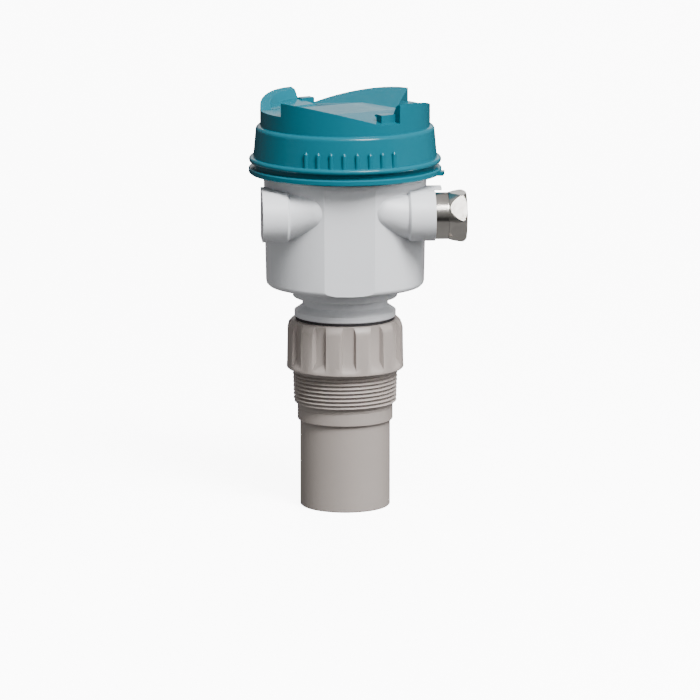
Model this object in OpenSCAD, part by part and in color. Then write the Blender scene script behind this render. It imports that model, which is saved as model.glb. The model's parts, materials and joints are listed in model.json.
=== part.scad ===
// Ultrasonic level sensor with a screw-in sensor head, a drum housing and a screw lid.
// Millimetres. The origin is the centre of the sensor face, Z is up and -Y is the front.

/* [Sensor head] */
// Crest radius of the taper thread at the collar
thread_radius = 30.2; // [27:0.1:33]
// Length of the taper thread
thread_length = 20.2; // [16:0.1:26]
// Radius lost from the thread to the band under it
band_step = 2.8; // [2:0.1:3.6]
// Length of the band
band_length = 10; // [6:0.1:14]
// Radius lost from the band to the plain sensor tube
tube_step = 1.55; // [0.8:0.05:2.4]
// Length of the plain sensor tube
tube_length = 50.3; // [44:0.1:60]
// Radius of the grip collar beyond the thread
collar_lip = 3.4; // [2.8:0.1:5]
// Height of the grip collar
collar_length = 28.4; // [25:0.1:36]
// Number of grip pockets around the collar
pocket_count = 12; // [8:1:14]
// Width of a grip pocket
pocket_width = 9.3; // [7.5:0.1:10]
// Depth of a grip pocket
pocket_depth = 2.8; // [1.5:0.1:3.2]
// Wall of the sensor tube
sensor_wall = 3.25; // [2.6:0.05:4]
// Thickness of the sensor face
face_thickness = 3; // [2:0.1:4]

/* [Transducer] */
// Thickness of the matching layer behind the face
matching_height = 5; // [3:0.1:7]
// Space between the piezo disc and the tube wall
piezo_margin = 3.6; // [2.5:0.1:6]
// Thickness of the piezo disc
piezo_height = 6; // [4:0.1:8]
// Thickness of the damping block above the piezo disc
damping_height = 26; // [18:0.5:30]
// Radius of a transducer lead
lead_radius = 0.7; // [0.5:0.05:1]
// Radius of the temperature probe
probe_radius = 2.5; // [2:0.1:3]
// Length of the temperature probe
probe_length = 14; // [8:0.5:18]

/* [Neck] */
// Thickness of the seal between collar and neck
seal_height = 1.6; // [1:0.1:2.5]
// Radius of the neck rim beyond that seal
seal_inset = 0.8; // [0.4:0.1:1.6]
// Radius of the neck rim beyond its spigot
rim_reach = 6.6; // [5.6:0.1:8]
// Height of the neck rim
rim_height = 3.5; // [2.5:0.1:5]
// Height of the slope from rim to waist
flare_height = 3.2; // [1.5:0.1:4]
// Radius lost from the rim to the waist
waist_inset = 4.6; // [2:0.1:5]
// Height of the neck waist
waist_height = 4.7; // [3.5:0.1:6]
// Radius of the disc under the drum
disc_radius = 30; // [28:0.1:33]
// Height of the disc under the drum
disc_height = 6.5; // [5:0.1:10]
// Length of the spigot inside the sensor head
spigot_length = 12; // [8:0.1:16]
// Radius of the lead passage through the neck
passage_radius = 11.5; // [10.5:0.1:14]

/* [Drum] */
// Radius of the drum at the lid
drum_radius = 46.5; // [42:0.1:51]
// Radius lost from there to the drum's underside
drum_narrowing = 1.2; // [0.8:0.1:1.6]
// Height of the drum below the lid
drum_height = 65.1; // [58:0.1:72]
// Height of the drum rim inside the lid
drum_rim_height = 14.5; // [12:0.1:16]
// Rounding of the drum's lower edge
drum_edge = 3.2; // [2:0.1:3.4]
// Width of the flat on the drum's front
flat_width = 28.6; // [20:0.1:34]
// Wall of the drum at its foot
drum_wall = 3.6; // [3:0.1:4.2]
// Thickness of the drum floor
floor_thickness = 3.5; // [3:0.1:5]

/* [Cable bosses] */
// Distance of the boss axis inside the drum's outline
boss_inset = 15; // [14:0.1:16]
// Distance of the boss axis below the lid
boss_drop = 20.6; // [18.6:0.1:22.6]
// Radius of the boss collar
boss_radius = 14.2; // [14:0.1:15.5]
// Bevel round the back of the boss collar
boss_bevel = 1.2; // [0.8:0.1:1.4]
// Radius of the boss nose where it leaves the collar
nose_radius = 12.4; // [12:0.1:12.6]
// Radius of the nose's round end
nose_tip = 11; // [10.5:0.1:11.5]
// Distance from the collar to the centre of the round end
nose_length = 14; // [13:0.1:15]
// Distance of the boss face beyond the drum's side
boss_overhang = 2.3; // [1.8:0.1:6]
// Length of the boss collar
boss_length = 15.2; // [14:0.1:18]
// Depth of the flat shelf behind the boss collar
shelf_depth = 20.5; // [15:0.1:24]
// Core radius of the threaded cable entry
entry_radius = 9.25; // [8.5:0.05:10]
// Depth of the threaded cable entry
entry_depth = 13.5; // [12.5:0.1:13.9]

/* [Lid] */
// Wall of the lid's skirt above the bead
skirt_wall = 5.6; // [5:0.1:7]
// Radius of the lid flange beyond that wall
flange_overhang = 2.6; // [2:0.1:4]
// Height of the lid flange
flange_height = 3.5; // [2.5:0.1:5]
// Height of the groove above the flange
groove_height = 2.6; // [1.5:0.1:4]
// Depth of that groove inside the wall
groove_depth = 0.8; // [0.2:0.1:1.4]
// Height of the round bead above the groove
bead_height = 3.4; // [2.5:0.1:4]
// Height of the lid wall from bead to shoulder
wall_height = 15.2; // [13:0.1:18]
// Radius lost over the height of that wall
wall_taper = 1.4; // [0.8:0.1:2]
// Radius of the round shoulder above the wall
shoulder_radius = 2.6; // [2:0.1:3.2]
// Height of the upper wall above the shoulder
crown_height = 9; // [7.5:0.1:11]
// Wall of the lid above the shoulder
crown_wall = 3.9; // [3:0.1:4.4]
// Thickness of the lid top
lid_top = 5.2; // [4.6:0.1:6]
// Height of the raised grips on the lid top
grip_height = 7.6; // [5:0.1:8.6]
// Depth of the dips beside the grips
dip_depth = 3.2; // [2:0.1:3.6]
// Turn of the grips from the front when the lid is tight
grip_turn = -3.5; // [-30:0.5:30]
// Number of finger ribs in each group
rib_count = 8; // [5:1:9]
// Angle between finger ribs
rib_pitch = 8.1; // [6:0.1:9]
// Half width of a finger rib
rib_radius = 1.3; // [1:0.1:1.5]
// Height of a finger rib above the bead
rib_height = 9; // [6:0.1:10]
// Thickness of the lid gasket
gasket_height = 2; // [1.5:0.1:3]

/* [Electronics] */
// Height of the main board above the drum floor
board_rise = 6.5; // [5.8:0.1:9]
// Thickness of the circuit boards
board_thickness = 1.6; // [1:0.1:2]
// Distance of the case's front wall from the centre
case_front = 10; // [9:0.1:11]
// Wall of the electronics case
case_wall = 2; // [1.6:0.1:2.4]
// Thickness of the case top
case_top = 2.5; // [2.2:0.1:3]
// Height of the case above the drum rim
case_rise = 9; // [7:0.1:9.6]
// Radius of a push button
button_radius = 3.8; // [3:0.1:4.2]
// Travel of a push button
button_travel = 0.8; // [0.5:0.1:0.9]
// Number of terminals
terminal_count = 7; // [4:1:7]
// Space between terminals
terminal_pitch = 5; // [4.4:0.1:5]

/* [Cable gland] */
// Radius of the gland flange inside the nut's flats
gland_inset = 0.2; // [0.1:0.1:1.2]
// Length of the gland flange
gland_length = 7.4; // [5:0.1:9]
// Length of the gland nut
nut_length = 10.2; // [9.6:0.1:13]
// Width of the gland nut across its flats
nut_flats = 27; // [26:0.1:30]
// Turn of the gland nut about its axis
nut_turn = 33; // [0:1:60]
// Radius of the cable hole in the gland seal
cable_radius = 4.5; // [3:0.1:5]

/* [Hidden] */
$fn = 96;

// Clearances
over = 1;               // how far a cutter runs past a face
seat_gap = 0.1;         // between pieces fixed in one another
turn_gap = 0.3;         // between round faces that turn or slide past each other
nut_gap = 0.1;          // between the gland nut and its flange
rest_gap = 0.02;        // between the lid and the gasket that it turns on

// Sensor head
edge = 0.6;             // small bevel on moulded edges
thread_taper = 1 / 32;  // radius lost for each millimetre of thread
thread_start = 1;       // bevel at the thread's small end
collar_draft = 0.4;     // radius lost from the collar's foot to its shoulder
shoulder_height = 4.9;  // height of the collar's rounded shoulder
shoulder_inset = 2.5;   // radius lost over that shoulder
shoulder_bend = [0.3, 0.6]; // share of its inset and height where the shoulder bends
pocket_foot = 2.5;      // height of a pocket's outer lip above the collar's foot
pocket_slope = 5;       // rise of a pocket's sloped end
pocket_draft = 30;      // slope of a pocket's side walls
band_radius = thread_radius - band_step;
tube_radius = band_radius - tube_step;
collar_radius = thread_radius + collar_lip;
cup_radius = tube_radius - sensor_wall;
z_band = tube_length;
z_thread = z_band + band_length;
z_collar = z_thread + thread_length;
z_collar_top = z_collar + collar_length;
z_shoulder = z_collar_top - shoulder_height;
thread_end_radius = thread_radius - thread_length * thread_taper;
collar_top_radius = collar_radius - collar_draft;
pocket_floor = collar_radius - pocket_depth;

// Neck and drum
z_rim = z_collar_top + seal_height;
z_flare = z_rim + rim_height;
z_waist = z_flare + flare_height;
z_disc = z_waist + waist_height;
z_drum = z_disc + disc_height;
z_floor = z_drum + floor_thickness;
z_lid = z_drum + drum_height;
z_drum_top = z_lid + drum_rim_height;
z_spigot = z_rim - spigot_length;
spigot_radius = cup_radius - seat_gap;
rim_radius = spigot_radius + rim_reach;
seal_radius = rim_radius - seal_inset;
waist_radius = rim_radius - waist_inset;
drum_foot_radius = drum_radius - drum_narrowing;
room_radius = drum_foot_radius - drum_wall;
drum_slope = drum_narrowing / drum_height;
drum_draft = atan(drum_slope);
flat_foot = sqrt(pow(drum_foot_radius, 2) - pow(flat_width / 2, 2));
flat_margin = 3.5;      // round stretch left between the flat and the lid
edge_step = 30;         // angle of one step round the drum's lower edge
room_front = flat_foot - drum_wall;
post_radius = 3.5;
screw_radius = 1.5;

// Transducer
fill_radius = cup_radius - seat_gap;
piezo_radius = cup_radius - piezo_margin;
z_matching = face_thickness;
z_piezo = z_matching + matching_height;
z_piezo_top = z_piezo + piezo_height;
z_damping_top = z_piezo_top + damping_height;
z_potting_top = z_spigot - over;
lead_spread = 3;        // piezo leads each side of the axis
probe_setback = 7;      // temperature probe in front of the axis
probe_lead_spread = 1.3;
z_probe_top = z_damping_top + probe_length;

// Cable bosses
z_boss = z_lid - boss_drop;
boss_setback = drum_radius - boss_inset;
boss_reach = drum_radius + boss_overhang;
boss_back = boss_reach - boss_length;
entry_step = 0.9;       // radius lost from the threaded entry to the passage behind it
nose_tilt = 14.7;       // upward slope of the nose towards the drum
nose_swing = 8.4;       // slope of the nose towards the front
nose_root = 5;          // how far the nose starts inside the collar
nose_rings = 9;         // conical rings that round the nose's end
nose_draft = atan2(nose_radius, nose_length)
    - asin(nose_tip / sqrt(pow(nose_radius, 2) + pow(nose_length, 2)));
tab_reach = 5;          // sealing tab beyond the right boss
tab_width = 8;
tab_thickness = 1.8;

// Lid
lid_edge = 0.7;
rib_sink = 0.3;         // depth of a finger rib's centre in the lid wall
bead_inset = 0.2;       // radius of the flange beyond the bead
z_groove = z_lid + flange_height;
z_bead = z_groove + groove_height;
z_wall = z_bead + bead_height;
z_wall_top = z_wall + wall_height;
z_crown = z_wall_top + shoulder_radius;
z_lid_top = z_crown + crown_height;
z_ceiling = z_lid_top - lid_top;
skirt_bore = drum_radius + turn_gap;
wall_radius = skirt_bore + skirt_wall;
lid_radius = wall_radius + flange_overhang;
bead_radius = lid_radius - bead_inset;
groove_radius = wall_radius - groove_depth;
wall_top_radius = wall_radius - wall_taper;
crown_radius = wall_top_radius - shoulder_radius;
lid_room_radius = crown_radius - crown_wall;
lug_angle = -12;        // sealing lug above the housing's tab
lug_length = 7;         // along the flange
lug_reach = 1.7;        // beyond the flange
lug_drop = 0.6;         // below the flange
lug_height = 2.4;
gasket_margin = 1.3;    // gasket set out from the drum room
gasket_play = 0.4;      // gasket clear of the lid's skirt
gasket_inner = room_radius + gasket_margin;
gasket_outer = skirt_bore - gasket_play;
z_gasket_top = z_drum_top + gasket_height;
z_lid_seat = z_gasket_top + rest_gap;

// Grips on the lid top, one half of them; the other half is turned by 180 degrees
plain_angle = 28;       // where the crown has no grips
grip_floor = z_lid_top - lid_top;
grip_span = z_lid_top + grip_height - grip_floor;
wedge_angle = 41;       // way up the wedge
wedge_foot = 0.495 * crown_radius;
wedge_end_angle = -13.5;
wedge_end = 0.572 * crown_radius;
rim_angle = 135;        // way up the rim's inner face
rim_arc = [129.6, 190];
rim_foot = 0.577 * crown_radius;
rim_inner = 0.85 * crown_radius;
rim_edge = 0.957 * crown_radius;
step_foot = 0.6 * crown_radius;
step_slope = 0.1;       // rise of the floor inside the rim
dip_angle = 120;        // way down the dip
dip_foot = 0.35 * crown_radius;
pad_arc = [117.5, 130.2];
pad_inner = 0.79 * crown_radius;
pad_outer = 0.915 * crown_radius;
pad_height = 1.8;

// Electronics
case_gap = 1.2;         // between the drum room and the case or the main board
z_board = z_floor + board_rise;
z_board_top = z_board + board_thickness;
board_radius = room_radius - case_gap;
board_front = room_front - case_gap;
z_case_top = z_drum_top + case_rise;
z_case_under = z_case_top - case_top;
case_radius = room_radius - case_gap;
case_inner = case_radius - case_wall;
head_radius = 2.8;
head_height = 1.8;
screw_reach = 5;        // length of screw in the housing posts
ear_radius = 4.5;
ear_height = 2.4;
ear_gap = 3.9;          // between the ears and the drum wall
ear_y = -case_front - ear_radius;
ear_x = sqrt(pow(room_radius - ear_gap - ear_radius, 2) - pow(ear_y, 2));
rear_post_angle = 18;
rear_post_inset = 5.9;  // posts inside the case wall
rear_post = (case_inner - rear_post_inset) * [cos(rear_post_angle), sin(rear_post_angle)];
stake_height = 3.5;     // pegs under the case top that carry the display board
stake_radius = 2.5;
stake_inset = 3.5;
stake_angles = [22, 75];
board_gap = 1;          // between the case and the display board
z_display_top = z_case_under - stake_height;
z_display = z_display_top - board_thickness;
display_radius = case_inner - board_gap;
display_front = case_front - case_wall - board_gap;
window_width = 1.04 * case_inner;
window_depth = 0.62 * case_inner;
window_y = 0.44 * case_inner;
window_step = 1.5;      // thickness of the window in its recess
window_ledge = 2;       // ledge the window sits on
panel_height = 2.8;
button_count = 4;
button_pitch = 0.415 * case_inner;
button_y = -1.5;
button_collar = 1;      // lip that keeps a button under the case top
button_lip = 1.2;       // height of that lip
button_stand = 1.6;     // height of a button above the case
switch_gap = 0.2;       // between a pressed button and its switch
switch_size = 6;
switch_height = stake_height - button_lip - button_travel - switch_gap;
terminal_gap = 5;       // between the case and the terminal block
terminal_depth = 11;
terminal_height = 13;
terminal_y = -case_front - terminal_gap - terminal_depth / 2;
terminal_hole = 1.8;
terminal_sink = 5;
terminal_screw = 3.5;   // length of a terminal screw
terminal_slot = 0.6;    // width of its slot
terminal_slot_depth = 0.8;
wire_hole = 1.6;
wire_drop = 9;          // wire holes below the top of the block
ribbon_y = 0.868 * case_inner;
ribbon_width = 0.415 * case_inner;
ribbon_thickness = 0.6;
core_size = [0.52, 0.416] * case_inner;
core_place = [-0.364, 0.364] * case_inner;
core_height = 5;        // lower half of the transformer core
core_top = 4;           // upper half
coil_radius = 0.182 * case_inner;
coil_height = 8;
capacitor_radius = 0.13 * case_inner;
capacitor_height = 16;
capacitor_places = [[0.31, 0.21], [0.31, 0.55], [0.62, 0.52]];
chip_size = [12, 9, 1.8];

// Gland
gland_radius = nut_flats / 2 - gland_inset;
x_flange = boss_reach;
x_nut = x_flange + gland_length + nut_gap;
x_nut_end = x_nut + nut_length;
nut_lip = 1.9;          // thickness of the nut's outer end
washer_height = 0.8;
washer_play = 0.7;      // washer hole beyond the cable hole
nut_play = 1;           // nut hole beyond the cable hole
seal_stand = 1;         // seal standing out of the gland stem
seal_depth = 1;         // depth of the seal's pocket in the flange
x_washer = x_nut_end - nut_lip - washer_height;
x_stem_end = x_washer - seal_stand;
stem_step = 0.15;       // radius of the stem beyond the threaded entry
stem_wall = 2.4;        // wall of the stem round the seal
seal_ledge = 1;         // ledge that the seal sits on
stem_radius = entry_radius + stem_step;
seal_pocket = stem_radius - stem_wall;
gland_bore = seal_pocket - seal_ledge;
gland_reach = 12;       // length of the threaded end in the boss
x_seal = x_flange + gland_length - seal_depth;
o_ring_height = 1.4;
o_ring_inset = 0.8;     // o-ring groove inside the flange
o_ring_radius = gland_radius - o_ring_inset;
nut_flare = 6.6;        // length of the nut's cone up to its corners
nut_corner = nut_flats / 2 / cos(30);
nut_trim = 0.2;         // taken off the nut's corners
nut_round = nut_corner - nut_trim;
nut_bevel = 2;

teal = [0.12, 0.50, 0.59];
white = [0.86, 0.87, 0.87];
beige = [0.67, 0.64, 0.62];
black = [0.08, 0.08, 0.09];
nickel = [0.72, 0.71, 0.69];
steel = [0.62, 0.63, 0.65];
board_green = [0.10, 0.36, 0.22];
grey = [0.42, 0.44, 0.46];

// Shared shapes

// Plain ring or disc standing on z
module ring(outer, inner, z, height) {
    translate([0, 0, z]) difference() {
        cylinder(r = outer, h = height);
        if (inner > 0) translate([0, 0, -over]) cylinder(r = inner, h = height + 2 * over);
    }
}

// Disc with a straight front edge
module d_shape(radius, front) {
    intersection() {
        circle(r = radius);
        translate([-radius, -front]) square([2 * radius, radius + front]);
    }
}

// Block centred in X and Y, standing on z
module block(x, y, z, size) {
    translate([x - size[0] / 2, y - size[1] / 2, z]) cube(size);
}

// Both sides of the YZ plane
module both_sides() {
    children();
    mirror([1, 0, 0]) children();
}

// Places along the cable boss axis, with the local Z running out along +X
module on_boss_axis() {
    translate([0, -boss_setback, z_boss]) rotate([0, 90, 0]) children();
}

// Sensor head

module sensor_outline() {
    polygon([
        [0, 0], [tube_radius - edge, 0], [tube_radius, edge], [tube_radius, z_band],
        [band_radius - edge, z_band], [band_radius, z_band + edge], [band_radius, z_thread],
        [thread_end_radius - thread_start, z_thread],
        [thread_end_radius, z_thread + thread_start],
        [thread_radius, z_collar], [collar_radius - edge, z_collar],
        [collar_radius, z_collar + edge], [collar_top_radius, z_shoulder],
        [collar_top_radius - shoulder_inset * shoulder_bend[0],
            z_shoulder + shoulder_height * shoulder_bend[1]],
        [collar_top_radius - shoulder_inset, z_collar_top], [0, z_collar_top]
    ]);
}

// Upright slot with sloped walls and a sloped lower end, open at the collar's top
module grip_pocket() {
    mouth = pocket_width / 2 + over * tan(pocket_draft);
    floor_half = pocket_width / 2 - pocket_depth * tan(pocket_draft);
    foot = pocket_foot - over * pocket_slope / pocket_depth;
    intersection() {
        translate([0, 0, z_collar]) linear_extrude(collar_length + over) polygon([
            [pocket_floor, -floor_half], [collar_radius + over, -mouth],
            [collar_radius + over, mouth], [pocket_floor, floor_half]
        ]);
        rotate([90, 0, 0]) translate([0, 0, -pocket_width]) linear_extrude(2 * pocket_width)
            polygon([
                [pocket_floor - over, z_collar + pocket_foot + pocket_slope],
                [pocket_floor, z_collar + pocket_foot + pocket_slope],
                [collar_radius + over, z_collar + foot],
                [collar_radius + over, z_collar_top + 2 * over],
                [pocket_floor - over, z_collar_top + 2 * over]
            ]);
    }
}

module sensor_body() {
    color(beige) difference() {
        rotate_extrude() sensor_outline();
        for (i = [0 : pocket_count - 1])
            rotate([0, 0, -90 + i * 360 / pocket_count]) grip_pocket();
        translate([0, 0, face_thickness]) cylinder(r = cup_radius, h = z_collar_top);
    }
}

module neck_seal() {
    color(black) ring(seal_radius, spigot_radius + seat_gap, z_collar_top, seal_height);
}

// Transducer

module matching_layer() {
    color([0.80, 0.76, 0.60]) ring(fill_radius, 0, z_matching, matching_height);
}

module piezo_disc() {
    color([0.78, 0.75, 0.70]) ring(piezo_radius, 0, z_piezo, piezo_height);
}

// Upright rods at the two piezo leads
module piezo_lead_rods(radius, z, z_end) {
    both_sides() translate([lead_spread, 0, z]) cylinder(r = radius, h = z_end - z, $fn = 24);
}

// Upright rods at the two probe leads
module probe_lead_rods(radius, z, z_end) {
    both_sides() translate([probe_lead_spread, -probe_setback, z])
        cylinder(r = radius, h = z_end - z, $fn = 24);
}

module damping_block() {
    color([0.25, 0.22, 0.20]) difference() {
        ring(fill_radius, 0, z_piezo, piezo_height + damping_height);
        translate([0, 0, z_piezo - over])
            cylinder(r = piezo_radius + seat_gap, h = piezo_height + over);
        piezo_lead_rods(lead_radius + seat_gap, z_piezo, z_damping_top + over);
    }
}

module potting() {
    color([0.16, 0.16, 0.17]) difference() {
        ring(fill_radius, 0, z_damping_top, z_potting_top - z_damping_top);
        piezo_lead_rods(lead_radius + seat_gap, z_damping_top - over, z_potting_top + over);
        probe_lead_rods(lead_radius + seat_gap, z_probe_top - over, z_potting_top + over);
        translate([0, -probe_setback, z_damping_top - over])
            cylinder(r = probe_radius + seat_gap, h = probe_length + over);
    }
}

module temperature_probe() {
    color(steel) translate([0, -probe_setback, z_damping_top])
        cylinder(r = probe_radius, h = probe_length);
}

module sensor_leads() {
    color([0.65, 0.12, 0.10]) {
        piezo_lead_rods(lead_radius, z_piezo_top, z_board);
        probe_lead_rods(lead_radius, z_probe_top, z_board);
    }
}

// Housing

module neck_outline() {
    polygon([
        [0, z_spigot], [spigot_radius - edge, z_spigot], [spigot_radius, z_spigot + edge],
        [spigot_radius, z_rim], [rim_radius - edge, z_rim], [rim_radius, z_rim + edge],
        [rim_radius, z_flare], [waist_radius, z_waist], [waist_radius, z_disc],
        [disc_radius - edge, z_disc], [disc_radius, z_disc + edge],
        [disc_radius, z_drum + over], [0, z_drum + over]
    ]);
}

// Drum with a drafted wall, a lower edge rounded in steps and a straight rim for the lid
module drum_outline() {
    corner = [drum_foot_radius - drum_edge, z_drum + drum_edge];
    polygon(concat(
        [[0, z_drum]],
        [for (a = [0 : edge_step : 90]) corner + drum_edge * [sin(a), -cos(a)]],
        [
            [drum_radius, z_lid], [drum_radius, z_drum_top - edge],
            [drum_radius - edge, z_drum_top], [0, z_drum_top]
        ]
    ));
}

// Everything in front of the drum's drafted flat
module front_cut() {
    translate([0, -flat_foot, z_drum]) rotate([drum_draft, 0, 0])
        translate([-drum_radius, -drum_radius, -drum_radius])
            cube([2 * drum_radius, drum_radius, drum_radius + drum_height - flat_margin]);
}

module drum() {
    difference() {
        rotate_extrude() drum_outline();
        front_cut();
    }
}

// Half outline of the nose, a cone that runs smoothly into its round end
module nose_outline() {
    polygon([
        [0, nose_root], [nose_radius + nose_root * tan(nose_draft), nose_root],
        for (ring = [0:nose_rings - 1])
            let (turn = nose_draft + (90 - nose_draft) * ring / nose_rings)
                [nose_tip * cos(turn), -nose_length - nose_tip * sin(turn)],
        [0, -nose_length - nose_tip]
    ]);
}

// Half outline of the boss collar along its axis, bevelled at the back
module collar_outline() {
    polygon([
        [0, 0], [boss_radius - boss_bevel, 0], [boss_radius, boss_bevel],
        [boss_radius, boss_length], [0, boss_length]
    ]);
}

// One cable boss: nose, collar and the shelf that ties the collar to the drum
module cable_boss() {
    on_boss_axis() translate([0, 0, boss_back]) {
        rotate([-nose_swing, nose_tilt, 0]) rotate_extrude() nose_outline();
        rotate_extrude() collar_outline();
        rotate([-90, 0, 0]) linear_extrude(shelf_depth) {
            mirror([0, 1, 0]) collar_outline();
            mirror([1, 0, 0]) mirror([0, 1, 0]) collar_outline();
        }
    }
}

// Tab at the rear of the right boss's shelf, for a sealing wire to the lid's lug
module seal_tab() {
    translate([boss_back, shelf_depth - boss_setback - tab_width, z_boss + boss_radius - tab_thickness])
        cube([boss_length + tab_reach, tab_width, tab_thickness]);
}

module drum_room() {
    translate([0, 0, z_floor]) linear_extrude(z_drum_top - z_floor + over)
        d_shape(room_radius, room_front);
}

// Points where the posts stand: two for the case ears and two at the rear
module at_posts() {
    both_sides() {
        translate([ear_x, ear_y, 0]) children();
        translate([rear_post[0], rear_post[1], 0]) children();
    }
}

module housing() {
    color(white) difference() {
        union() {
            difference() {
                union() {
                    rotate_extrude() neck_outline();
                    drum();
                    both_sides() cable_boss();
                    seal_tab();
                }
                drum_room();
                translate([0, 0, z_spigot - over])
                    cylinder(r = passage_radius, h = z_floor - z_spigot + 2 * over);
                both_sides() on_boss_axis() {
                    cylinder(r = entry_radius - entry_step, h = boss_reach);
                    translate([0, 0, boss_reach - entry_depth])
                        cylinder(r = entry_radius, h = entry_depth + over);
                }
            }
            at_posts() translate([0, 0, z_floor - over]) cylinder(r = post_radius, h = board_rise + over);
        }
        at_posts() translate([0, 0, z_board - screw_reach - seat_gap])
            cylinder(r = screw_radius + seat_gap, h = screw_reach + over + seat_gap, $fn = 32);
    }
}

// Lid

module lid_outline() {
    polygon([
        [0, z_lid], [lid_radius - lid_edge, z_lid], [lid_radius, z_lid + lid_edge],
        [lid_radius, z_groove - lid_edge], [lid_radius - lid_edge, z_groove],
        [groove_radius, z_groove], [groove_radius, z_bead + bead_height / 2],
        [wall_radius, z_bead + bead_height / 2], [wall_radius, z_wall],
        [wall_top_radius, z_wall_top], [crown_radius, z_wall_top],
        [crown_radius, z_lid_top + grip_height + over], [0, z_lid_top + grip_height + over]
    ]);
    translate([groove_radius - over, z_bead])
        square([bead_radius - bead_height / 2 - groove_radius + over, bead_height]);
    translate([bead_radius - bead_height / 2, z_bead + bead_height / 2]) circle(r = bead_height / 2);
    translate([crown_radius, z_wall_top]) circle(r = shoulder_radius);
}

module lid_hollow() {
    translate([0, z_lid - over]) square([skirt_bore, z_lid_seat - z_lid + over]);
    translate([0, z_lid_seat - over]) square([lid_room_radius, z_ceiling - z_lid_seat + over]);
}

// Upright finger rib with a tapered top, on the wall above the bead
module finger_rib() {
    shaft = rib_height - rib_radius;
    translate([wall_radius - rib_sink, 0, z_wall - over])
        cylinder(r = rib_radius, h = shaft + over, $fn = 32);
    translate([wall_radius - rib_sink, 0, z_wall + shaft])
        cylinder(r1 = rib_radius, r2 = rib_radius / 3, h = rib_radius, $fn = 32);
}

// Slice of the lid top between two angles, from an inner radius outwards
module grip_sector(arc, inner, height) {
    far = 2 * crown_radius;
    middle = (arc[0] + arc[1]) / 2;
    translate([0, 0, grip_floor]) linear_extrude(height) difference() {
        polygon([
            [0, 0], far * [cos(arc[0]), sin(arc[0])],
            far * [cos(middle), sin(middle)], far * [cos(arc[1]), sin(arc[1])]
        ]);
        if (inner > 0) circle(r = inner);
    }
}

// Everything under a plane that rises towards an angle and meets the lid top at a distance
module under_slope(angle, foot, slope) {
    reach = 3 * crown_radius;
    rotate([0, 0, angle]) translate([0, 0, z_lid_top - foot * slope]) rotate([0, -atan(slope), 0])
        translate([-reach, -reach, -reach]) cube([2 * reach, 2 * reach, reach]);
}

// Raised wedge that climbs from a chord to the lid's edge and stops at an upright end
module grip_wedge() {
    reach = 2 * crown_radius;
    intersection() {
        under_slope(wedge_angle, wedge_foot, grip_height / (crown_radius - wedge_foot));
        rotate([0, 0, wedge_end_angle]) translate([wedge_end - reach, -reach, grip_floor - over])
            cube([reach, 2 * reach, grip_span + 3 * over]);
    }
}

// Rim wall with a sloped inner face, over a gently rising floor
module grip_rim() {
    difference() {
        intersection() {
            grip_sector(rim_arc, 0, grip_span + 2 * over);
            under_slope(rim_angle, rim_foot, grip_height / (crown_radius - rim_foot));
        }
        difference() {
            translate([0, 0, z_lid_top - over])
                cylinder(r1 = rim_inner, r2 = rim_edge, h = grip_height + 2 * over);
            under_slope(rim_angle, step_foot, step_slope);
        }
    }
}

// Low block that stands in the dip beside the rim
module grip_pad() {
    intersection() {
        grip_sector(pad_arc, pad_inner, lid_top + pad_height);
        translate([0, 0, grip_floor]) cylinder(r = pad_outer, h = grip_span);
    }
}

// Flat lid top with a dip towards each pad
module lid_floor() {
    intersection() {
        translate([0, 0, grip_floor - over]) cylinder(r = crown_radius + 2 * over, h = lid_top + over);
        under_slope(dip_angle, dip_foot, -dip_depth / (crown_radius - dip_foot));
        under_slope(dip_angle + 180, dip_foot, -dip_depth / (crown_radius - dip_foot));
    }
}

// Space over the lid's floor, between the grips
module grip_space() {
    difference() {
        translate([0, 0, grip_floor]) cylinder(r = crown_radius + over, h = grip_span + 2 * over);
        rotate([0, 0, grip_turn]) lid_floor();
        for (half = [0, 180]) rotate([0, 0, half + grip_turn]) {
            grip_wedge();
            grip_rim();
            grip_pad();
        }
    }
}

// Small sealing lug under the flange
module lid_lug() {
    rotate([0, 0, lug_angle]) translate([wall_radius, -lug_length / 2, z_lid - lug_drop])
        cube([flange_overhang + lug_reach, lug_length, lug_height]);
}

module lid() {
    color(teal) {
        difference() {
            rotate([0, 0, grip_turn + plain_angle]) rotate_extrude() difference() {
                lid_outline();
                lid_hollow();
            }
            grip_space();
        }
        for (side = [-90, 90], i = [0 : rib_count - 1])
            rotate([0, 0, side + (i - (rib_count - 1) / 2) * rib_pitch]) finger_rib();
        lid_lug();
    }
}

module lid_gasket() {
    color(black) ring(gasket_outer, gasket_inner, z_drum_top, gasket_height);
}

// Electronics

module main_board() {
    color(board_green) difference() {
        translate([0, 0, z_board]) linear_extrude(board_thickness) d_shape(board_radius, board_front);
        at_posts() translate([0, 0, z_board - over])
            cylinder(r = screw_radius + seat_gap, h = board_thickness + 2 * over, $fn = 32);
    }
}

// Core in two halves round a coil
module transformer() {
    translate([core_place[0], core_place[1], z_board_top]) color([0.35, 0.30, 0.22]) {
        block(0, 0, 0, [core_size[0], core_size[1], core_height]);
        block(0, 0, core_height + coil_height, [core_size[0], core_size[1], core_top]);
        translate([0, 0, core_height - over]) cylinder(r = coil_radius, h = coil_height + 2 * over);
    }
}

module capacitors() {
    color([0.14, 0.17, 0.30]) for (place = capacitor_places)
        translate([place[0] * case_inner, place[1] * case_inner, z_board_top])
            cylinder(r = capacitor_radius, h = capacitor_height);
}

module processor_chip() {
    color(black) block(0, 0, z_board_top, chip_size);
}

// Places of the terminals, at the top of the block
module at_terminals() {
    for (i = [0 : terminal_count - 1])
        translate([(i - (terminal_count - 1) / 2) * terminal_pitch, terminal_y,
                   z_board_top + terminal_height])
            children();
}

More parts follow.
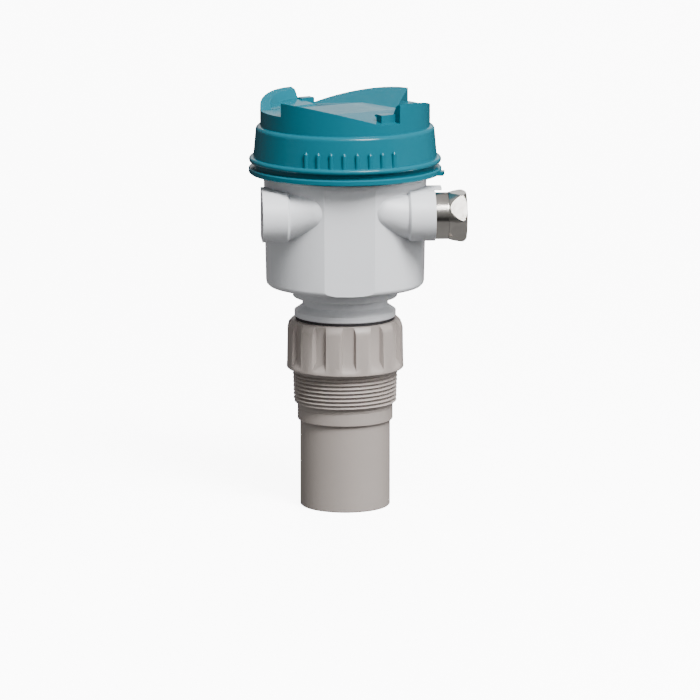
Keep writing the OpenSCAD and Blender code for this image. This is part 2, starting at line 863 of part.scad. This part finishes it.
module terminal_block() {
    block_width = (terminal_count + 1) * terminal_pitch;
    color([0.15, 0.45, 0.25]) difference() {
        block(0, terminal_y, z_board_top, [block_width, terminal_depth, terminal_height]);
        at_terminals() {
            translate([0, 0, -terminal_sink])
                cylinder(r = terminal_hole, h = terminal_sink + over, $fn = 32);
            translate([0, 0, -wire_drop]) rotate([90, 0, 0])
                cylinder(r = wire_hole, h = terminal_depth, $fn = 32);
        }
    }
}

module terminal_screws() {
    color(steel) at_terminals() translate([0, 0, -terminal_sink]) difference() {
        cylinder(r = terminal_hole - seat_gap, h = terminal_screw, $fn = 32);
        block(0, 0, terminal_screw - terminal_slot_depth, [2 * terminal_hole, terminal_slot, over]);
    }
}

// Places of the pegs under the case top
module at_stakes() {
    both_sides() for (angle = stake_angles) rotate([0, 0, angle])
        translate([case_inner - stake_inset, 0, 0]) children();
}

// Ear beside the case's foot, with its screw hole
module case_ear() {
    difference() {
        union() {
            translate([ear_x, ear_y, z_board_top]) cylinder(r = ear_radius, h = ear_height);
            block(ear_x, ear_y + ear_radius / 2 + case_wall / 2, z_board_top,
                  [2 * ear_radius, ear_radius + case_wall, ear_height]);
        }
        translate([ear_x, ear_y, z_board_top - over])
            cylinder(r = screw_radius + seat_gap, h = ear_height + 2 * over, $fn = 32);
    }
}

module at_button(place) {
    translate([(place - (button_count - 1) / 2) * button_pitch, button_y, 0]) children();
}

module electronics_case() {
    color(grey) {
        difference() {
            translate([0, 0, z_board_top]) linear_extrude(z_case_top - z_board_top)
                d_shape(case_radius, case_front);
            translate([0, 0, z_board_top - over]) linear_extrude(z_case_under - z_board_top + over)
                d_shape(case_inner, case_front - case_wall);
            block(0, window_y, z_case_top - window_step, [window_width, window_depth, window_step + over]);
            block(0, window_y, z_case_under - over,
                  [window_width - 2 * window_ledge, window_depth - 2 * window_ledge, case_top + 2 * over]);
            for (place = [0 : button_count - 1]) at_button(place) translate([0, 0, z_case_under - over])
                cylinder(r = button_radius + turn_gap, h = case_top + 2 * over);
        }
        at_stakes() translate([0, 0, z_display_top]) cylinder(r = stake_radius, h = stake_height + over);
        both_sides() case_ear();
    }
}

module display_board() {
    color(board_green) translate([0, 0, z_display]) linear_extrude(board_thickness)
        d_shape(display_radius, display_front);
}

module display_panel() {
    color([0.55, 0.60, 0.50]) block(0, window_y, z_display_top, [window_width, window_depth, panel_height]);
}

module display_window() {
    color([0.75, 0.80, 0.82, 0.6]) block(0, window_y, z_case_top - window_step,
        [window_width - 2 * seat_gap, window_depth - 2 * seat_gap, window_step]);
}

module button_switches() {
    color(black) for (place = [0 : button_count - 1]) at_button(place)
        block(0, 0, z_display_top, [switch_size, switch_size, switch_height]);
}

// Push button with a lip that keeps it under the case top
module push_button(place) {
    at_button(place) {
        translate([0, 0, z_case_under - button_lip])
            cylinder(r = button_radius + button_collar, h = button_lip);
        translate([0, 0, z_case_under - button_lip])
            cylinder(r = button_radius, h = button_lip + case_top + button_stand);
    }
}

module menu_button() { color([0.20, 0.22, 0.24]) push_button(0); }

module down_button() { color([0.20, 0.22, 0.24]) push_button(1); }

module up_button() { color([0.20, 0.22, 0.24]) push_button(2); }

module enter_button() { color([0.20, 0.22, 0.24]) push_button(3); }

module board_ribbon() {
    color([0.70, 0.70, 0.72])
        block(0, ribbon_y, z_board_top, [ribbon_width, ribbon_thickness, z_display - z_board_top]);
}

// Pan head screw whose head sits on z
module pan_screw(z) {
    translate([0, 0, z]) cylinder(r = head_radius, h = head_height, $fn = 32);
    translate([0, 0, z_board - screw_reach])
        cylinder(r = screw_radius, h = z - z_board + screw_reach + over, $fn = 32);
}

module case_screws() {
    color(steel) both_sides() translate([ear_x, ear_y, 0]) pan_screw(z_board_top + ear_height);
}

module board_screws() {
    color(steel) both_sides() translate([rear_post[0], rear_post[1], 0]) pan_screw(z_board_top);
}

// Cable gland

module gland_body() {
    color(nickel) on_boss_axis() difference() {
        union() {
            translate([0, 0, x_flange - gland_reach])
                cylinder(r = entry_radius - seat_gap, h = gland_reach + over);
            translate([0, 0, x_flange]) cylinder(r = gland_radius, h = gland_length);
            translate([0, 0, x_flange]) cylinder(r = stem_radius, h = x_stem_end - x_flange);
        }
        translate([0, 0, x_flange - gland_reach - over]) cylinder(r = gland_bore, h = x_nut_end);
        translate([0, 0, x_seal]) cylinder(r = seal_pocket, h = x_nut_end);
        ring(o_ring_radius, entry_radius - seat_gap, x_flange - over, o_ring_height + over);
    }
}

module gland_o_ring() {
    color(black) on_boss_axis() ring(o_ring_radius - seat_gap, entry_radius, x_flange, o_ring_height);
}

module gland_seal() {
    color(black) on_boss_axis() ring(seal_pocket - seat_gap, cable_radius, x_seal, x_washer - x_seal);
}

module gland_washer() {
    color(steel) on_boss_axis()
        ring(stem_radius - turn_gap, cable_radius + washer_play, x_washer, washer_height);
}

// Hex nut that grows out of a cone, with a bevel at its outer end
module gland_nut() {
    color(nickel) on_boss_axis() difference() {
        intersection() {
            translate([0, 0, x_nut]) rotate([0, 0, nut_turn])
                cylinder(r = nut_corner, h = nut_length, $fn = 6);
            rotate_extrude() polygon([
                [0, x_nut], [gland_radius, x_nut], [nut_round, x_nut + nut_flare],
                [nut_round, x_nut_end - nut_bevel], [nut_round - nut_bevel, x_nut_end], [0, x_nut_end]
            ]);
        }
        translate([0, 0, x_nut - over])
            cylinder(r = stem_radius + turn_gap, h = nut_length - nut_lip + over);
        translate([0, 0, x_nut]) cylinder(r = cable_radius + nut_play, h = nut_length + over);
    }
}

lid();
lid_gasket();
housing();
neck_seal();
sensor_body();
matching_layer();
piezo_disc();
damping_block();
potting();
temperature_probe();
sensor_leads();
main_board();
transformer();
capacitors();
processor_chip();
terminal_block();
terminal_screws();
electronics_case();
display_board();
display_panel();
display_window();
button_switches();
menu_button();
down_button();
up_button();
enter_button();
board_ribbon();
case_screws();
board_screws();
gland_body();
gland_o_ring();
gland_seal();
gland_washer();
gland_nut();
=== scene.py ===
"""Looks of the ultrasonic level sensor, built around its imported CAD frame. Metres."""
import json
import math

import bpy
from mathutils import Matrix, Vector

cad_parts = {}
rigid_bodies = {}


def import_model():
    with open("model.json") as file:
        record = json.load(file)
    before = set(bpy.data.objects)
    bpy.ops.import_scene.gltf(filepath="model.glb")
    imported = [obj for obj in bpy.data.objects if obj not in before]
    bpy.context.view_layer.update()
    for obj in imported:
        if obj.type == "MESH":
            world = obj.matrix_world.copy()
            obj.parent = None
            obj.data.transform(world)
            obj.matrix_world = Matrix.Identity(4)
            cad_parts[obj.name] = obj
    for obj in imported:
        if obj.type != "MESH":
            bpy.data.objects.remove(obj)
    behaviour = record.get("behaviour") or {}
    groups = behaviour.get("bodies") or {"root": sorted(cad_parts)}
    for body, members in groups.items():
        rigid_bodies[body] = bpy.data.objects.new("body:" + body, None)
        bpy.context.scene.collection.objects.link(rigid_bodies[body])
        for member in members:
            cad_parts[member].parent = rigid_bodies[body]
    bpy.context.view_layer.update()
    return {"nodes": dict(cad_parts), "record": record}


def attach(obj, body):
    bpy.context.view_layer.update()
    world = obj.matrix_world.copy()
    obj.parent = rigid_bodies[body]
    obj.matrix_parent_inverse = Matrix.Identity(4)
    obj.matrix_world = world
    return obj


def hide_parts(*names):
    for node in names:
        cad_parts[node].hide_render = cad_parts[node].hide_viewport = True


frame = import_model()
nodes = frame["nodes"]

MM = 0.001

# Camera, from the photograph's ellipses and outline
CAMERA_DISTANCE = 2.9
CAMERA_HEIGHT = 0.651
CAMERA_PITCH = 10.947
CAMERA_AZIMUTH = -3.5
CAMERA_AIM = 0.0557
CAMERA_LENS = 264.8
CAMERA_REACH = 50.0
SENSOR_WIDTH = 36.0


# Materials


def shader(name):
    """A new material and its node tree, principled shader and texture coordinates."""
    material = bpy.data.materials.new(name)
    material.use_nodes = True
    tree = material.node_tree
    principled = tree.nodes["Principled BSDF"]
    place = tree.nodes.new("ShaderNodeTexCoord")
    return material, tree, principled, place.outputs["Object"]


def noise(tree, place, scale, detail=4.0, roughness=0.55):
    """A noise texture in object space; scale counts features per metre."""
    texture = tree.nodes.new("ShaderNodeTexNoise")
    texture.inputs["Scale"].default_value = scale
    texture.inputs["Detail"].default_value = detail
    texture.inputs["Roughness"].default_value = roughness
    tree.links.new(place, texture.inputs["Vector"])
    return texture.outputs["Fac"]


def ramp(tree, factor, low, high, start=0.3, end=0.7):
    """A colour ramp between two colours."""
    node = tree.nodes.new("ShaderNodeValToRGB")
    node.color_ramp.elements[0].position = start
    node.color_ramp.elements[0].color = (*low, 1.0)
    node.color_ramp.elements[1].position = end
    node.color_ramp.elements[1].color = (*high, 1.0)
    tree.links.new(factor, node.inputs["Fac"])
    return node.outputs["Color"]


def span(tree, factor, low, high):
    """Maps a factor of 0 to 1 onto a range."""
    node = tree.nodes.new("ShaderNodeMapRange")
    node.inputs["To Min"].default_value = low
    node.inputs["To Max"].default_value = high
    tree.links.new(factor, node.inputs["Value"])
    return node.outputs["Result"]


def bump(tree, principled, height, strength, distance):
    """Surface relief from a height."""
    node = tree.nodes.new("ShaderNodeBump")
    node.inputs["Strength"].default_value = strength
    node.inputs["Distance"].default_value = distance
    tree.links.new(height, node.inputs["Height"])
    tree.links.new(node.outputs["Normal"], principled.inputs["Normal"])


def shade(colour, factor):
    """A colour made lighter or darker."""
    return tuple(min(1.0, channel * factor) for channel in colour)


def moulded(name, colour, roughness, grain=1800.0, relief=0.06, mottle=0.05, coat=0.0, gleam=0.5):
    """Moulded plastic or rubber: slight colour mottling, uneven gloss and a fine grain."""
    material, tree, principled, place = shader(name)
    cloud = noise(tree, place, 28.0)
    colours = ramp(tree, cloud, shade(colour, 1.0 - mottle), shade(colour, 1.0 + mottle))
    tree.links.new(colours, principled.inputs["Base Color"])
    gloss = noise(tree, place, 160.0)
    tree.links.new(span(tree, gloss, roughness - 0.05, roughness + 0.07), principled.inputs["Roughness"])
    principled.inputs["Specular IOR Level"].default_value = gleam
    principled.inputs["Coat Weight"].default_value = coat
    principled.inputs["Coat Roughness"].default_value = 0.12
    bump(tree, principled, noise(tree, place, grain, 2.0), relief, 0.1 * MM)
    return material


def plated(name, colour, roughness, grain=2600.0):
    """Bright plated or plain metal with fine scratches and slightly uneven gloss."""
    material, tree, principled, place = shader(name)
    cloud = noise(tree, place, 90.0)
    colours = ramp(tree, cloud, shade(colour, 0.9), shade(colour, 1.05))
    tree.links.new(colours, principled.inputs["Base Color"])
    principled.inputs["Metallic"].default_value = 1.0
    tree.links.new(span(tree, noise(tree, place, 420.0), roughness - 0.05, roughness + 0.1),
                   principled.inputs["Roughness"])
    bump(tree, principled, noise(tree, place, grain, 3.0), 0.05, 0.05 * MM)
    return material


def circuit(name, mask, track):
    """Solder mask with copper tracks showing faintly through it."""
    material, tree, principled, place = shader(name)
    cells = tree.nodes.new("ShaderNodeTexBrick")
    cells.inputs["Scale"].default_value = 220.0
    cells.inputs["Mortar Size"].default_value = 0.06
    cells.inputs["Color1"].default_value = (*mask, 1.0)
    cells.inputs["Color2"].default_value = (*shade(mask, 0.82), 1.0)
    cells.inputs["Mortar"].default_value = (*track, 1.0)
    tree.links.new(place, cells.inputs["Vector"])
    tree.links.new(cells.outputs["Color"], principled.inputs["Base Color"])
    tree.links.new(span(tree, noise(tree, place, 300.0), 0.28, 0.42), principled.inputs["Roughness"])
    bump(tree, principled, cells.outputs["Fac"], 0.1, 0.05 * MM)
    return material


def window(name, tint):
    """Clear window with faint smears."""
    material, tree, principled, place = shader(name)
    colours = ramp(tree, noise(tree, place, 60.0), shade(tint, 0.96), tint)
    tree.links.new(colours, principled.inputs["Base Color"])
    tree.links.new(span(tree, noise(tree, place, 90.0), 0.03, 0.1), principled.inputs["Roughness"])
    principled.inputs["Transmission Weight"].default_value = 0.9
    principled.inputs["IOR"].default_value = 1.49
    return material


TEAL = (0.002, 0.083, 0.116)
WHITE = (0.52, 0.53, 0.55)
BEIGE = (0.244, 0.215, 0.198)

FINISH = {
    "teal_plastic": moulded("teal_plastic", TEAL, 0.2, relief=0.03, mottle=0.03, gleam=0.26),
    "white_plastic": moulded("white_plastic", WHITE, 0.42, relief=0.05, mottle=0.015),
    "beige_plastic": moulded("beige_plastic", BEIGE, 0.46, relief=0.07, mottle=0.03),
    "black_rubber": moulded("black_rubber", (0.012, 0.012, 0.013), 0.6, relief=0.1, mottle=0.15),
    "matching_resin": moulded("matching_resin", (0.60, 0.54, 0.34), 0.5, mottle=0.1),
    "piezo_ceramic": moulded("piezo_ceramic", (0.57, 0.52, 0.45), 0.55, mottle=0.05),
    "potting_resin": moulded("potting_resin", (0.02, 0.02, 0.022), 0.3, mottle=0.2),
    "lead_sleeve": moulded("lead_sleeve", (0.38, 0.02, 0.015), 0.4),
    "transformer_core": moulded("transformer_core", (0.10, 0.075, 0.045), 0.5, mottle=0.2),
    "component_sleeve": moulded("component_sleeve", (0.018, 0.025, 0.075), 0.3, coat=0.3),
    "black_plastic": moulded("black_plastic", (0.015, 0.015, 0.017), 0.45, relief=0.1),
    "terminal_plastic": moulded("terminal_plastic", (0.02, 0.17, 0.05), 0.45),
    "grey_plastic": moulded("grey_plastic", (0.15, 0.16, 0.175), 0.5, relief=0.15),
    "button_rubber": moulded("button_rubber", (0.035, 0.04, 0.046), 0.6, relief=0.15),
    "ribbon": moulded("ribbon", (0.45, 0.45, 0.48), 0.45),
    "board": circuit("board", (0.01, 0.11, 0.04), (0.03, 0.20, 0.08)),
    "display_glass": moulded("display_glass", (0.26, 0.32, 0.21), 0.15, relief=0.0, mottle=0.06),
    "clear_window": window("clear_window", (0.9, 0.94, 0.95)),
    "steel": plated("steel", (0.55, 0.56, 0.58), 0.32),
    "nickel": plated("nickel", (0.60, 0.57, 0.53), 0.16),
}


# Shapes: lengths in millimetres, angles in degrees
WELD_REACH = 0.002
FLAT_ANGLE = 0.5
EDGE_ANGLE = 33.0
EDGE_SEGMENTS = 3
SHARP_ANGLE = 32.0


def soften(piece, bevel):
    """Welds a piece's faces and rounds its edges."""
    weld = piece.modifiers.new("weld", "WELD")
    weld.merge_threshold = WELD_REACH * MM
    if bevel > 0.0:
        flatten = piece.modifiers.new("flatten", "DECIMATE")
        flatten.decimate_type = "DISSOLVE"
        flatten.angle_limit = math.radians(FLAT_ANGLE)
        edge = piece.modifiers.new("edge", "BEVEL")
        edge.width = bevel * MM
        edge.segments = EDGE_SEGMENTS
        edge.limit_method = "ANGLE"
        edge.angle_limit = math.radians(EDGE_ANGLE)


def even_normals(piece):
    """Shades a piece by its larger faces."""
    smooth = piece.modifiers.new("smooth", "WEIGHTED_NORMAL")
    smooth.keep_sharp = True


def finish_node(name, slot, bevel=0.0):
    """Gives a CAD node its material, welded smooth faces and rounded edges."""
    node = nodes[name]
    node.data.materials.clear()
    node.data.materials.append(FINISH[slot])
    soften(node, bevel)
    even_normals(node)


# Taper pipe thread of the sensor body: the CAD solid holds its crest cone, which the mount describes
mounts = {mount["name"]: mount for mount in frame["record"]["mounts"]}
THREAD_SIZE = mounts["process_thread"]["dims"]
THREAD_RADIUS = THREAD_SIZE["r_mm"]
THREAD_START = mounts["process_thread"]["pos_m"][2] / MM - THREAD_SIZE["length_mm"] / 2.0
THREAD_END = THREAD_START + THREAD_SIZE["length_mm"]
THREAD_TAPER = 1.0 / 32.0
THREAD_PITCH = 2.31
THREAD_DEPTH = 1.6
THREAD_HALF = 1.07      # half the groove's width at the crest
THREAD_STEPS = 72       # steps of the helix in a turn
COLLAR_TURNS = 0.55     # turns left plain under the collar
FADE_TURNS = 0.7        # turns over which the groove comes up to the crest there
BAND_TURNS = 1.9        # turns that run on over the band below the thread
BAND_RADIUS = 27.4
BAND_DEPTH = 0.25       # depth of the groove on the band
CUTTER_PROUD = 0.8      # reach of the cutter past the crest
TIP_LIFT = 0.1          # height of the cutter's tip over the crest where the groove ends


def thread_cutter():
    """A helical wedge that cuts the thread's groove, from the band below it to just under the collar."""
    low = THREAD_START - BAND_TURNS * THREAD_PITCH
    high = THREAD_END - COLLAR_TURNS * THREAD_PITCH
    count = round(THREAD_STEPS * (high - low) / THREAD_PITCH)
    points = []
    for step in range(count + 1):
        z = low + (high - low) * step / count
        turn = 2.0 * math.pi * step / THREAD_STEPS
        crest = THREAD_RADIUS - (THREAD_END - z) * THREAD_TAPER
        outer = crest + CUTTER_PROUD
        depth = THREAD_DEPTH * min(1.0, (high - z) / (FADE_TURNS * THREAD_PITCH)) - TIP_LIFT
        half = THREAD_HALF * (depth + CUTTER_PROUD) / THREAD_DEPTH
        band = min(1.0, max(0.0, (THREAD_START - z) / THREAD_PITCH))
        tip = crest - depth + band * (BAND_RADIUS - BAND_DEPTH - crest + depth)
        for radius, height in ((tip, z), (outer, z - half), (outer, z + half)):
            points.append((radius * math.cos(turn) * MM, radius * math.sin(turn) * MM, height * MM))
    faces = [(0, 1, 2)]
    for step in range(count):
        here = 3 * step
        for corner in range(3):
            after = (corner + 1) % 3
            faces.append((here + corner, here + 3 + corner, here + 3 + after, here + after))
    faces.append((3 * count + 2, 3 * count + 1, 3 * count))
    mesh = bpy.data.meshes.new("thread_cutter")
    mesh.from_pydata(points, [], faces)
    mesh.validate()
    return mesh


def threaded_body(slot, bevel):
    """The sensor body with its thread cut, in place of the CAD solid."""
    source = nodes["sensor_body"]
    links = bpy.context.scene.collection.objects
    body = bpy.data.objects.new("threaded_sensor_body", source.data.copy())
    cutter = bpy.data.objects.new("thread_cutter", thread_cutter())
    links.link(body)
    links.link(cutter)
    soften(body, bevel)
    groove = body.modifiers.new("groove", "BOOLEAN")
    groove.operation = "DIFFERENCE"
    groove.solver = "EXACT"
    groove.object = cutter
    shape = bpy.data.meshes.new_from_object(body.evaluated_get(bpy.context.evaluated_depsgraph_get()))
    body.modifiers.clear()
    body.data = shape
    bpy.data.objects.remove(cutter)
    shape.materials.clear()
    shape.materials.append(FINISH[slot])
    shape.shade_smooth()
    shape.set_sharp_from_angle(angle=math.radians(SHARP_ANGLE))
    even_normals(body)
    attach(body, "base")
    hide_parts("sensor_body")


# Width of the rounded edges, for the nodes that have them
EDGES = {
    "lid": 0.5,
    "housing": 0.6,
    "sensor_body": 0.25,
    "gland_body": 0.3,
    "gland_nut": 0.35,
    "electronics_case": 0.5,
}

for part in frame["record"]["subparts"]:
    if part["node"] == "sensor_body":
        threaded_body(part["material_slot"], EDGES["sensor_body"])
    else:
        finish_node(part["node"], part["material_slot"], EDGES.get(part["node"], 0.0))


# Stage: the sky's levels go from straight down at 0 to straight up at 1
FLOOR_HALF = 6.0
FLOOR_GLOW = 8.0
SKY_LEVELS = ((0.0, 0.32), (0.31, 0.29), (0.36, 0.03), (0.46, 0.02), (0.56, 0.14), (0.75, 0.2), (0.9, 0.5),
              (1.0, 0.55))
SIDE_LEVEL = 0.25
AIM = (0.0, 0.0, 0.14)
LID_AIM = (0.0, 0.0, 0.22)


def floor():
    """A wide white floor under the sensor that throws no glare up on it."""
    mesh = bpy.data.meshes.new("floor")
    corners = [(x * FLOOR_HALF, y * FLOOR_HALF, 0.0) for x, y in ((-1, -1), (1, -1), (1, 1), (-1, 1))]
    mesh.from_pydata(corners, [], [(0, 1, 2, 3)])
    plane = bpy.data.objects.new("floor", mesh)
    bpy.context.scene.collection.objects.link(plane)
    material, tree, principled, place = shader("floor_paint")
    tree.links.new(ramp(tree, noise(tree, place, 3.0), (0.79, 0.79, 0.79), (0.81, 0.81, 0.81)),
                   principled.inputs["Base Color"])
    principled.inputs["Roughness"].default_value = 0.8
    principled.inputs["Specular IOR Level"].default_value = 0.0
    principled.inputs["Emission Color"].default_value = (1.0, 1.0, 1.0, 1.0)
    principled.inputs["Emission Strength"].default_value = FLOOR_GLOW
    plane.data.materials.append(material)
    plane.visible_diffuse = False
    plane.visible_glossy = False
    plane.visible_transmission = False


def softbox(name, place, aim, width, height, power, glossy=True):
    """A rectangular soft light that faces a point, with or without a reflection of its own."""
    light = bpy.data.lights.new(name, "AREA")
    light.shape = "RECTANGLE"
    light.size = width
    light.size_y = height
    light.energy = power
    lamp = bpy.data.objects.new(name, light)
    lamp.location = place
    lamp.visible_glossy = glossy
    lamp.rotation_euler = (Vector(aim) - Vector(place)).to_track_quat("-Z", "Y").to_euler()
    bpy.context.scene.collection.objects.link(lamp)


def sky(levels, sides):
    """Pale light with a level for each height from straight down to straight up, and more at the sides."""
    world = bpy.data.worlds.new("studio")
    world.use_nodes = True
    tree = world.node_tree
    direction = tree.nodes.new("ShaderNodeTexCoord")
    parts = tree.nodes.new("ShaderNodeSeparateXYZ")
    square = tree.nodes.new("ShaderNodeMath")
    square.operation = "MULTIPLY"
    total = tree.nodes.new("ShaderNodeMath")
    total.operation = "MULTIPLY_ADD"
    total.inputs[1].default_value = sides
    height = tree.nodes.new("ShaderNodeMapRange")
    height.inputs["From Min"].default_value = -1.0
    grade = tree.nodes.new("ShaderNodeValToRGB")
    elements = grade.color_ramp.elements
    for place, level in levels[1:-1]:
        elements.new(place)
    for element, (place, level) in zip(elements, levels):
        element.color = (level, level, level, 1.0)
    tree.links.new(direction.outputs["Generated"], parts.inputs["Vector"])
    tree.links.new(parts.outputs["Z"], height.inputs["Value"])
    tree.links.new(height.outputs["Result"], grade.inputs["Fac"])
    tree.links.new(parts.outputs["X"], square.inputs[0])
    tree.links.new(parts.outputs["X"], square.inputs[1])
    tree.links.new(square.outputs[0], total.inputs[0])
    tree.links.new(grade.outputs["Color"], total.inputs[2])
    tree.links.new(total.outputs[0], tree.nodes["Background"].inputs["Strength"])
    tree.nodes["Background"].inputs["Color"].default_value = (1.0, 1.0, 1.0, 1.0)
    bpy.context.scene.world = world


def camera():
    """The photograph's viewpoint: a long lens from slightly above and a little to the left."""
    data = bpy.data.cameras.new("camera")
    data.sensor_width = SENSOR_WIDTH
    data.lens = CAMERA_LENS
    data.clip_end = CAMERA_REACH
    turn = math.radians(CAMERA_AZIMUTH)
    eye = bpy.data.objects.new("camera", data)
    eye.location = (math.sin(turn) * CAMERA_DISTANCE, -math.cos(turn) * CAMERA_DISTANCE, CAMERA_HEIGHT)
    eye.rotation_euler = (math.radians(90.0 - CAMERA_PITCH), 0.0, turn - math.radians(CAMERA_AIM))
    bpy.context.scene.collection.objects.link(eye)
    bpy.context.scene.camera = eye


floor()
sky(SKY_LEVELS, SIDE_LEVEL)
softbox("key", (0.87, -1.50, 2.07), AIM, 0.9, 0.9, 160.0)
softbox("front", (1.0, -2.1, 1.0), AIM, 0.6, 0.6, 14.0, glossy=False)
softbox("strip", (-0.2, -1.8, 1.9), AIM, 0.9, 0.35, 6.0)
softbox("low", (0.3, -2.4, 0.25), AIM, 0.8, 0.4, 2.5, glossy=False)
softbox("left", (-2.2, -0.6, 0.25), AIM, 0.8, 0.4, 5.0, glossy=False)
softbox("side", (2.2, -0.6, 0.95), AIM, 0.8, 1.2, 26.0, glossy=False)
softbox("top", (0.3, -1.25, 2.55), AIM, 0.8, 0.8, 75.0, glossy=False)
softbox("back", (0.3, 2.6, 1.6), AIM, 1.6, 1.0, 100.0, glossy=False)
softbox("sheen", (0.2, 3.2, 1.0), LID_AIM, 2.4, 0.7, 6.0)
camera()
